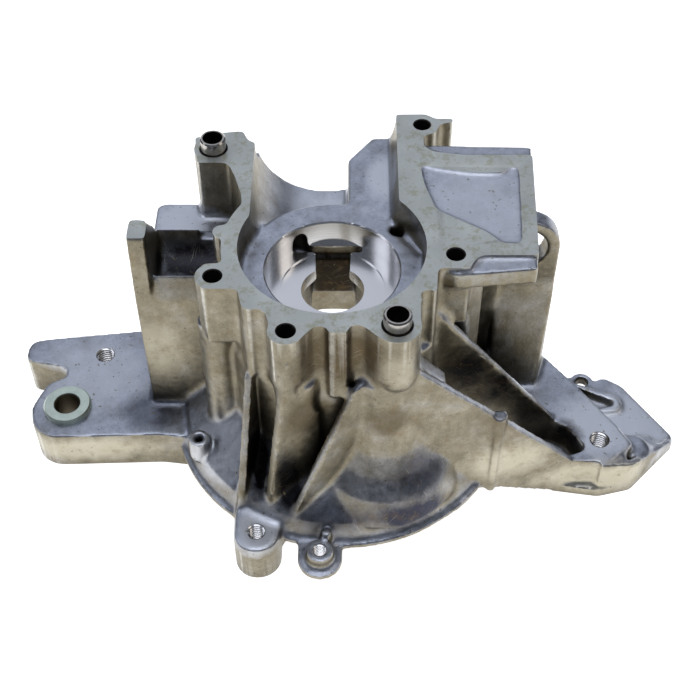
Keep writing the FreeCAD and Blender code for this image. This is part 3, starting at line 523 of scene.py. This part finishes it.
def slab(x, y, z):
    """Box between pairs of levels in millimetres."""
    bpy.ops.object.select_all(action="DESELECT")
    bpy.ops.mesh.primitive_cube_add(size=1)
    thing = bpy.context.object
    thing.scale = [(high - low) * MM for low, high in (x, y, z)]
    thing.location = [(high + low) / 2 * MM for low, high in (x, y, z)]
    settle(thing)
    return thing


def outline(corners, links):
    """Object made of edges between (radius, height) corners in millimetres, in the XZ plane."""
    mesh = bpy.data.meshes.new("outline")
    mesh.from_pydata([(radius * MM, 0, z * MM) for radius, z in corners], links, [])
    thing = bpy.data.objects.new("outline", mesh)
    bpy.context.collection.objects.link(thing)
    return thing


def lathe(corners, place=(0.0, 0.0), sides=96):
    """Solid from an outline that starts and ends on an upright axis, spun about it."""
    thing = outline(corners, [(i, i + 1) for i in range(len(corners) - 1)])
    apply(thing, "SCREW", angle=2 * math.pi, steps=sides, render_steps=sides,
          use_merge_vertices=True, merge_threshold=1e-6, use_normal_calculate=True)
    only(thing)
    bpy.ops.object.mode_set(mode="EDIT")
    bpy.ops.mesh.select_all(action="SELECT")
    bpy.ops.mesh.remove_doubles(threshold=1e-6)
    bpy.ops.mesh.normals_make_consistent(inside=False)
    bpy.ops.object.mode_set(mode="OBJECT")
    thing.location = (place[0] * MM, place[1] * MM, 0)
    settle(thing)
    return thing


def thread_ridge(x, y, radius, low, high, pitch):
    """Helical ridge that cuts one thread, a three-sided section swept up the hole."""
    inner = radius - 0.5
    crest = radius + 0.32 * pitch
    start = low - pitch / 2
    turns = math.ceil((high - low) / pitch) + 1
    thing = outline([(inner, start - 0.42 * pitch), (inner, start + 0.42 * pitch),
                     (crest, start)], [(0, 1), (1, 2), (2, 0)])
    apply(thing, "SCREW", angle=2 * math.pi, steps=32, render_steps=32,
          screw_offset=pitch * MM, iterations=turns, use_normal_calculate=True)
    only(thing)
    bpy.ops.object.mode_set(mode="EDIT")
    bpy.ops.mesh.select_all(action="DESELECT")
    bpy.ops.mesh.select_non_manifold(extend=False)
    bpy.ops.mesh.edge_face_add()
    bpy.ops.mesh.select_all(action="SELECT")
    bpy.ops.mesh.normals_make_consistent(inside=False)
    bpy.ops.object.mode_set(mode="OBJECT")
    thing.location = (x * MM, y * MM, 0)
    settle(thing)
    return thing


def gather(things):
    """Joins objects into the first one."""
    only(things[0])
    for thing in things[1:]:
        thing.select_set(True)
    bpy.ops.object.join()
    return bpy.context.object


def dress(thing, material):
    thing.data.materials.clear()
    thing.data.materials.append(material)


def cut(thing, tools, material):
    """Cuts closed tools that don't touch each other away; the new faces take the material."""
    tool = gather(tools)
    dress(tool, material)
    apply(thing, "BOOLEAN", operation="DIFFERENCE", object=tool, solver="EXACT",
          material_mode="TRANSFER")
    remove(tool)


def rough_casting(sizes):
    """A merged copy of the CAD casting, with metal left on the faces that are cut later."""
    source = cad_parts["crankcase_casting"]
    rough = source.copy()
    rough.data = source.data.copy()
    rough.parent = None
    bpy.context.collection.objects.link(rough)
    only(rough)
    bpy.ops.object.mode_set(mode="EDIT")
    bpy.ops.mesh.select_all(action="SELECT")
    bpy.ops.mesh.remove_doubles(threshold=0.002 * MM)
    bpy.ops.object.mode_set(mode="OBJECT")
    more = sizes.allowance / MM
    small_holes = [(x, y, SCREW_RADIUS) for x, y in SCREW_HOLES + SLEEVE_HOLES]
    small_holes += [(x, y, SLEEVE_RADIUS) for x, y in SLEEVE_HOLES]
    small_holes += [(x, y, radius) for x, y, radius, low, high in THREADED]
    for vertex in rough.data.vertices:
        x, y, z = (c / MM for c in vertex.co)
        radius = math.hypot(x, y)
        # Holes, the seat's wall, the web and the shaft hole close in by 0.7 to 0.9 mm
        for hole_x, hole_y, hole_radius in small_holes:
            reach = math.hypot(x - hole_x, y - hole_y)
            if abs(reach - hole_radius) < 0.03:
                keep = 1 - 0.7 / hole_radius
                x, y = hole_x + (x - hole_x) * keep, hole_y + (y - hole_y) * keep
        if WEB_Z - 0.01 <= z <= 0.51 and abs(radius - SEAT_RADIUS) < 0.6:
            x, y = x * 0.955, y * 0.955
        if WEB_Z - 0.01 <= z <= SEAT_FLOOR_Z + 0.01 and radius < SEAT_RADIUS + 0.01:
            z += 0.7
        if abs(radius - SHAFT_RADIUS) < 0.05 and z > SHAFT_HOLE_LOW_Z + 0.1:
            x, y = x * 0.93, y * 0.93
        # The parting face and the feet stand out
        if z > PARTING_Z - 0.01:
            z += more
        if z < FOOT_Z + 0.01:
            z -= more
        vertex.co = (x * MM, y * MM, z * MM)
    return rough


def sleeve_flank():
    """Slope from the sleeve column's flare down to the bell's rim, without its inside."""
    flank = lathe([(0, -46), (16.4, -45.6), (21.4, -51.3), (24.6, -59.4), (24.6, -61),
                   (0, -61)], FLARE_PLACE)
    room = lathe([(0, -40), (31.5, -40), (32.0, -45.0), (49.2, -61.0), (49.2, -64), (0, -64)],
                 RIM_PLACE)
    apply(flank, "BOOLEAN", operation="DIFFERENCE", object=room, solver="EXACT")
    remove(room)
    return flank


def extra_metal():
    """Cast forms that soften the plain ones: column's flank, arm's end, lug's root and top."""
    lumps = [bar(foot, x, y, low, high, 40, top) for x, y, low, high, foot, top in LUMPS]
    return [sleeve_flank()] + lumps + [ball(6.8, -23.4, -50.6, -63.5, 0.22)]


def hollows(mesh):
    """How much each vertex is smoothed: 0 on flats and edges, 1 in corners and soft forms."""
    count = len(mesh.vertices)
    places = np.empty(count * 3)
    mesh.vertices.foreach_get("co", places)
    places = places.reshape(-1, 3)
    normals = np.empty(count * 3)
    mesh.vertex_normals.foreach_get("vector", normals)
    normals = normals.reshape(-1, 3)
    ends = np.empty(len(mesh.edges) * 2, dtype=np.int64)
    mesh.edges.foreach_get("vertices", ends)
    first, second = ends.reshape(-1, 2).T
    links = np.bincount(np.concatenate((first, second)), minlength=count).clip(1)

    def around(field):
        """Mean of a field over each vertex's neighbours."""
        return (np.bincount(first, field[second], count)
                + np.bincount(second, field[first], count)) / links

    rise = sum((around(places[:, axis]) - places[:, axis]) * normals[:, axis]
               for axis in range(3))
    for step in range(3):
        rise = around(rise)
    depth = np.clip(rise / (FULL_HOLLOW * MM), 0, 1)
    # Widens the corners by six edges
    for step in range(6):
        depth = np.maximum(depth, around(depth) * 1.02).clip(0, 1)
    for centre, reach in SOFT:
        away = np.linalg.norm(places - np.array(centre) * MM, axis=1) / (reach * MM)
        depth = np.maximum(depth, (1.8 * (1 - away)).clip(0, 1))
    return depth


def fillets(thing, steps):
    """Rounds the hollow corners only, as the die's rounded edges leave them."""
    level = np.rint(hollows(thing.data) * FILLET_LEVELS).astype(int)
    group = thing.vertex_groups.new(name="hollow")
    for number in range(1, FILLET_LEVELS + 1):
        chosen = np.nonzero(level == number)[0]
        group.add(chosen.tolist(), number / FILLET_LEVELS, "REPLACE")
    apply(thing, "SMOOTH", factor=0.5, iterations=steps, vertex_group="hollow")
    thing.vertex_groups.clear()


def skin(rough, sizes):
    """Melts the forms into one closed skin with soft cast edges and rounder corners."""
    apply(rough, "REMESH", mode="VOXEL", voxel_size=sizes.voxel, adaptivity=0.0)
    apply(rough, "SMOOTH", factor=0.5, iterations=sizes.blend)
    for turn in range(2):
        fillets(rough, sizes.fillet)
    triangles = 2 * len(rough.data.polygons)
    apply(rough, "DECIMATE", ratio=min(1.0, sizes.faces / triangles))


class CRANKCASE_OT_casting(bpy.types.Operator):
    """Casts, smooths and machines the crankcase half."""
    bl_idname = "crankcase.casting"
    bl_label = "Casting"

    def execute(self, context):
        sizes = context.scene.crankcase_sizes
        colours = context.scene.crankcase_colours
        cast = die_cast_aluminium(colours)
        milled = milled_aluminium(colours)
        turned = turned_aluminium(colours)
        case = gather([rough_casting(sizes)] + extra_metal())
        case.name = "crankcase_body"
        skin(case, sizes)
        dress(case, cast)
        above = PARTING_Z + 6
        cut(case, [slab((-140, 140), (-90, 90), (PARTING_Z, above)),
                   slab((-140, 140), (-90, 90), (FOOT_Z - 6, FOOT_Z))], milled)
        chamfer = SEAT_RADIUS + 0.6
        cut(case, [lathe([(0, WEB_Z), (RELIEF_RADIUS, WEB_Z), (RELIEF_RADIUS, SEAT_FLOOR_Z),
                          (SEAT_RADIUS, SEAT_FLOOR_Z), (SEAT_RADIUS, 0), (chamfer, 0.6),
                          (chamfer, 2), (0, 2)])], turned)
        cut(case, self.screw_bores(above), oily_bore_and_shade(colours))
        cut(case, self.bright_bores(), turned)
        pitch = sizes.pitch / MM
        cut(case, [thread_ridge(x, y, radius, low, high, pitch * (1.0 if radius > 2.5 else 0.8))
                   for x, y, radius, low, high in THREADED], turned)
        only(case)
        bpy.ops.object.shade_smooth_by_angle(angle=math.radians(35))
        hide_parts("crankcase_casting")
        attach(case, "case")
        return {"FINISHED"}

    @staticmethod
    def screw_bores(above):
        """Blind holes in the parting face, with small chamfers; two have a counterbore."""
        drilled = [(0, SCREW_FLOOR_Z), (SCREW_RADIUS, SCREW_FLOOR_Z + 1)]
        bores = [lathe(drilled + [(SCREW_RADIUS, PARTING_Z - 0.3), (2.9, PARTING_Z),
                                  (2.9, above), (0, above)], place, 48)
                 for place in SCREW_HOLES]
        bores += [lathe(drilled + [(SCREW_RADIUS, SLEEVE_FLOOR_Z),
                                   (SLEEVE_RADIUS, SLEEVE_FLOOR_Z),
                                   (SLEEVE_RADIUS, PARTING_Z - 0.3), (4.5, PARTING_Z),
                                   (4.5, above), (0, above)], place, 64)
                  for place in SLEEVE_HOLES]
        return bores

    @staticmethod
    def bright_bores():
        """Shaft hole, the threads' core holes and the bush's hole."""
        bores = [lathe([(0, SHAFT_HOLE_LOW_Z), (SHAFT_RADIUS, SHAFT_HOLE_LOW_Z),
                        (SHAFT_RADIUS, 0), (0, 0)])]
        for x, y, radius, low, high in THREADED:
            core = radius - 0.28
            mouth = radius + 0.3
            bores.append(lathe([(0, low - 2), (mouth, low - 2), (mouth, low),
                                (core, low + 0.5), (core, high - 0.5), (mouth, high),
                                (mouth, high + 3), (0, high + 3)], (x, y), 48))
        bores.append(bar(BUSH_HOLE_RADIUS, *BUSH_PLACE, FOOT_Z - 2, ARM_TOP_Z + 2, 64,
                         BUSH_HOLE_RADIUS))
        return bores


class CRANKCASE_OT_sleeves(bpy.types.Operator):
    """Gives both locating sleeves their ground steel finish."""
    bl_idname = "crankcase.sleeves"
    bl_label = "Locating sleeves"

    def execute(self, context):
        steel = ground_steel(context.scene.crankcase_colours)
        for name in ("dowel_sleeve_front", "dowel_sleeve_rear"):
            finish_node(name, steel)
        return {"FINISHED"}


class CRANKCASE_OT_bush(bpy.types.Operator):
    """Gives the pressed bush its zinc-plated finish."""
    bl_idname = "crankcase.bush"
    bl_label = "Arm bush"

    def execute(self, context):
        finish_node("arm_bush", zinc_plated_steel(context.scene.crankcase_colours))
        return {"FINISHED"}


def finish_node(name, material):
    """Puts a material on a CAD node that keeps its own shape."""
    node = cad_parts[name]
    if not node.material_slots:
        raise RuntimeError("node %s has no material slot" % name)
    for slot in node.material_slots:
        slot.link = "OBJECT"
        slot.material = material


class CRANKCASE_OT_stage(bpy.types.Operator):
    """Adds the pale floor, the soft lights and the camera."""
    bl_idname = "crankcase.stage"
    bl_label = "Stage"

    def execute(self, context):
        scene = context.scene
        bpy.ops.object.select_all(action="DESELECT")
        bpy.ops.mesh.primitive_plane_add(size=FLOOR_SIZE, location=(0, 0, FOOT_Z * MM))
        floor = context.object
        floor.name = "floor"
        material, tree = fresh_material("studio_floor")
        finish(tree, base_color=rgba(scene.crankcase_colours.floor), roughness=0.9,
               emission_color=rgba(linear("#FFFFFF")), emission_strength=1.0)
        dress(floor, material)
        world = bpy.data.worlds.new("studio")
        world.use_nodes = True
        sky = world.node_tree.nodes["Background"]
        sky.inputs["Color"].default_value = rgba(linear("#C9D2E4"))
        sky.inputs["Strength"].default_value = 0.16
        scene.world = world
        for row in LAMPS:
            self.lamp(*row)
        camera_data = bpy.data.cameras.new("camera")
        camera = bpy.data.objects.new("camera", camera_data)
        context.collection.objects.link(camera)
        camera.location = CAMERA_PLACE
        camera.rotation_euler = (CAMERA_PITCH, 0, 0)
        camera_data.sensor_width = 36.0
        camera_data.lens = CAMERA_LENS
        camera_data.clip_start = 0.01
        camera_data.clip_end = 20
        scene.camera = camera
        scene.view_settings.view_transform = "Standard"
        scene.view_settings.look = "None"
        return {"FINISHED"}

    @staticmethod
    def lamp(name, place, size, power, colour):
        """Square soft lamp that looks at the object."""
        data = bpy.data.lights.new(name, "AREA")
        data.size = size
        data.energy = power
        data.color = linear(colour)
        thing = bpy.data.objects.new(name, data)
        bpy.context.collection.objects.link(thing)
        thing.location = place
        aim = Vector(LAMP_AIM) - Vector(place)
        thing.rotation_euler = aim.to_track_quat("-Z", "Y").to_euler()


class CRANKCASE_PT_panel(bpy.types.Panel):
    """Lists the crankcase's steps, sizes and colours."""
    bl_idname = "CRANKCASE_PT_panel"
    bl_label = "Crankcase"
    bl_space_type = "VIEW_3D"
    bl_region_type = "UI"
    bl_category = "Crankcase"

    def draw(self, context):
        for step in STEPS:
            self.layout.operator(step.bl_idname)
        for group in (context.scene.crankcase_sizes, context.scene.crankcase_colours):
            for name in group.__annotations__:
                self.layout.prop(group, name)


STEPS = (CRANKCASE_OT_casting, CRANKCASE_OT_sleeves, CRANKCASE_OT_bush, CRANKCASE_OT_stage)
CLASSES = (CrankcaseSizes, CrankcaseColours) + STEPS + (CRANKCASE_PT_panel,)


def register():
    for item in CLASSES:
        bpy.utils.register_class(item)
    bpy.types.Scene.crankcase_sizes = PointerProperty(type=CrankcaseSizes)
    bpy.types.Scene.crankcase_colours = PointerProperty(type=CrankcaseColours)


def unregister():
    del bpy.types.Scene.crankcase_sizes
    del bpy.types.Scene.crankcase_colours
    for item in reversed(CLASSES):
        bpy.utils.unregister_class(item)


def main():
    register()
    bpy.ops.crankcase.casting()
    bpy.ops.crankcase.sleeves()
    bpy.ops.crankcase.bush()
    bpy.ops.crankcase.stage()


if __name__ == "__main__":
    main()
